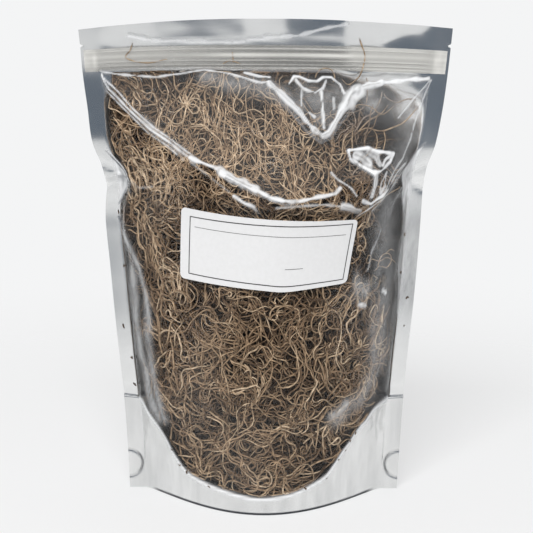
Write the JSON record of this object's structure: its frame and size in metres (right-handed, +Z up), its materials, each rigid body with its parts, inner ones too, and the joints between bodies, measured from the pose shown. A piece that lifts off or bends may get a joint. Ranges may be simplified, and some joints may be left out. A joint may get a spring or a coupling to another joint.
{
  "type": "pouch of dried spanish moss",
  "caption": "Filled stand-up pouch with a clear front, foil back and gusset, press-to-close zip, blank paper label and a tangled bunch of dried Spanish moss inside.",
  "frame": {"origin": "on the surface the pouch stands on, at the bottom centre of its bounding box", "axes": "+Z up from the gusset to the zip, -Y out of the clear labelled front, +X to the right as seen from the front"},
  "size_m": [0.2102, 0.1056, 0.27],
  "materials": {
    "clear_film": "clear glossy film, slightly crinkled",
    "foil": "satin silver metallised film",
    "label_paper": "smooth white paper, faintly glossy",
    "dried_moss": "dry wiry brown plant strands"
  },
  "bodies": {
    "root": {"front_film": "clear_film", "back_film": "foil", "gusset_film": "foil", "zip_rib_strip": "clear_film", "zip_channel_strip": "clear_film", "label": "label_paper", "moss_bunch": "dried_moss"}
  },
  "joints": []
}
